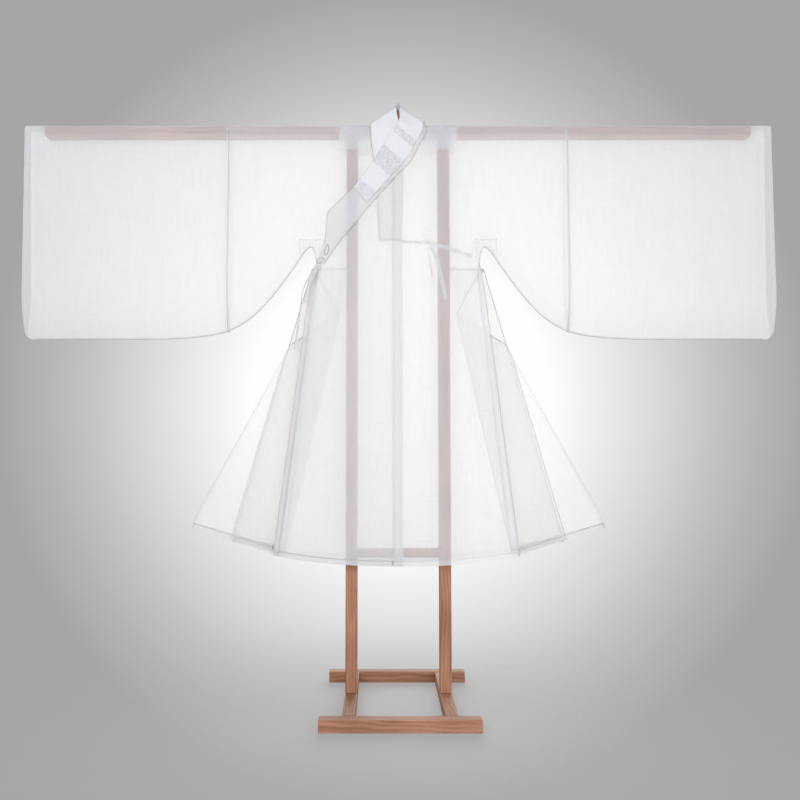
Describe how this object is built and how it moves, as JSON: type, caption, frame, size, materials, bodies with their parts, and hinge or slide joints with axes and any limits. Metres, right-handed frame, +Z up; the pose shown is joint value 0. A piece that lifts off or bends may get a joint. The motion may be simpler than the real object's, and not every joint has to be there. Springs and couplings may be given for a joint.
{
  "type": "hanfu robe on wooden stand",
  "caption": "Sheer white silk robe with a crossed collar, wide sleeves and a flared skirt, hung on a wooden stand with a long top rail.",
  "frame": {"origin": "on the floor, midway between the stand's feet and under the middle of its rail", "axes": "+Z up, -Y towards the robe's front, +X towards the wearer's left, along the rail"},
  "size_m": [2.227, 0.482, 1.7698],
  "materials": {
    "wood": "oiled red-brown timber with visible grain",
    "gauze": "sheer white silk gauze",
    "guard": "opaque white figured silk"
  },
  "bodies": {
    "root": {"stand_front_foot": "wood", "stand_rear_foot": "wood", "stand_left_runner": "wood", "stand_right_runner": "wood", "stand_left_post": "wood", "stand_right_post": "wood", "stand_lower_crossbar": "wood", "stand_top_rail": "wood", "stand_neck_post": "wood", "body_left": "gauze", "body_right": "gauze", "sleeve_left": "gauze", "sleeve_right": "gauze", "outer_front_panel": "gauze", "gore_front_left": "gauze", "gore_front_right": "gauze", "gore_back_left": "gauze", "gore_back_right": "gauze", "collar": "gauze", "collar_guard": "guard", "neck_facing_left": "gauze", "neck_facing_right": "gauze", "underarm_patch_left": "gauze", "underarm_patch_right": "gauze", "outer_tie_knot": "gauze", "outer_tie_long": "gauze", "outer_tie_short": "gauze", "inner_tie_knot": "gauze", "inner_tie_panel_strand": "gauze", "inner_tie_side_strand": "gauze", "inner_tie_loop": "gauze", "inner_tie_end_thin": "gauze", "inner_tie_end_wide": "gauze"}
  },
  "joints": []
}
